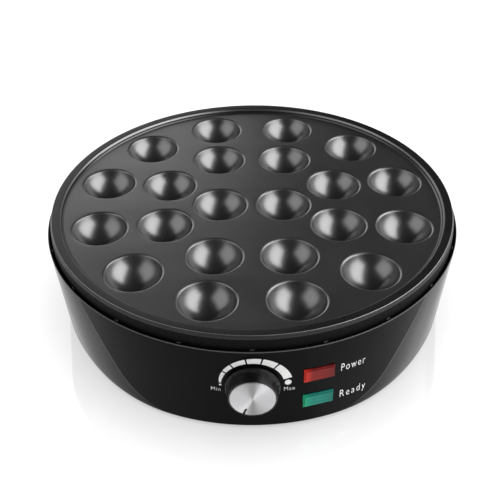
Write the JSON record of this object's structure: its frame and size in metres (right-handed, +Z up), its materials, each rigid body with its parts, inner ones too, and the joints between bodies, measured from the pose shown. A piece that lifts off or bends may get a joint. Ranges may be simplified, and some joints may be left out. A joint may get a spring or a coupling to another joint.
{
  "type": "cake pop maker",
  "caption": "Round open electric cooker: a non-stick plate of 22 round cups with a raised rim on a drum housing with scooped sides, a thermostat knob, indicator lenses and rubber feet.",
  "frame": {"origin": "centre of the box round the whole appliance, at the level of the table under its feet; the drum's axis lies 2.4 mm behind it because the knob stands out further than the cord gland", "axes": "+X to the right seen from the knob, +Y from the knob to the back, +Z up along the drum's axis"},
  "size_m": [0.2876, 0.304, 0.0773],
  "materials": {
    "nonstick_coating": "satin dark grey non-stick coating on cast aluminium",
    "gloss_black_plastic": "polished black moulding",
    "satin_black_plastic": "satin black moulding",
    "brushed_aluminium": "brushed",
    "red_lens": "clear red moulding",
    "green_lens": "clear green moulding",
    "lamp_glass": "clear tube",
    "zinc_plated_steel": "zinc plated",
    "aluminised_sheet": "aluminised sheet",
    "element_sheath": "heat-stained sheath",
    "steatite": "unglazed ceramic",
    "cream_resin": "moulded resin",
    "copper_tube": "drawn copper",
    "foot_rubber": "matt",
    "base_plastic": "fine grain black moulding",
    "brown_wire": "silicone sleeve",
    "blue_wire": "silicone sleeve",
    "earth_wire": "silicone sleeve",
    "white_wire": "silicone sleeve"
  },
  "bodies": {
    "appliance": {"hot_plate": "nonstick_coating", "housing": "gloss_black_plastic", "base_cover": "base_plastic", "rubber_foot_1": "foot_rubber", "rubber_foot_2": "foot_rubber", "rubber_foot_3": "foot_rubber", "rubber_foot_4": "foot_rubber", "heat_shield": "aluminised_sheet", "plate_post_1": "zinc_plated_steel", "plate_post_2": "zinc_plated_steel", "plate_post_3": "zinc_plated_steel", "plate_post_4": "zinc_plated_steel", "heating_element": "element_sheath", "element_bush_1": "steatite", "element_bush_2": "steatite", "element_clip_1": "zinc_plated_steel", "element_clip_2": "zinc_plated_steel", "element_clip_3": "zinc_plated_steel", "bulb_clip": "zinc_plated_steel", "sensor_bulb": "copper_tube", "capillary_tube": "copper_tube", "thermostat_body": "cream_resin", "thermostat_nut": "zinc_plated_steel", "power_lens": "red_lens", "ready_lens": "green_lens", "power_lamp": "lamp_glass", "ready_lamp": "lamp_glass", "lamp_bracket": "cream_resin", "cord_gland": "satin_black_plastic", "terminal_block": "cream_resin", "thermal_fuse": "zinc_plated_steel", "fuse_clip": "zinc_plated_steel", "plate_screw_1": "zinc_plated_steel", "plate_screw_2": "zinc_plated_steel", "plate_screw_3": "zinc_plated_steel", "plate_screw_4": "zinc_plated_steel", "cover_screw_1": "zinc_plated_steel", "cover_screw_2": "zinc_plated_steel", "cover_screw_3": "zinc_plated_steel", "cover_screw_4": "zinc_plated_steel", "element_clip_screw_1": "zinc_plated_steel", "element_clip_screw_2": "zinc_plated_steel", "element_clip_screw_3": "zinc_plated_steel", "bulb_clip_screw": "zinc_plated_steel", "earth_screw": "zinc_plated_steel", "fuse_clip_screw": "zinc_plated_steel", "terminal_screw": "zinc_plated_steel", "live_wire": "brown_wire", "load_wire": "brown_wire", "fuse_wire": "white_wire", "neutral_wire": "blue_wire", "earth_wire": "earth_wire", "power_lamp_wire": "white_wire", "ready_lamp_wire": "white_wire"},
    "knob": {"control_knob": "satin_black_plastic", "knob_cap": "brushed_aluminium", "thermostat_shaft": "zinc_plated_steel"}
  },
  "joints": [
    {"name": "knob_turn", "type": "hinge", "parent": "appliance", "child": "knob", "pos_m": [0, -0.1417, 0.0386], "axis": [0, 1, 0], "range_deg": [0, 236]}
  ]
}
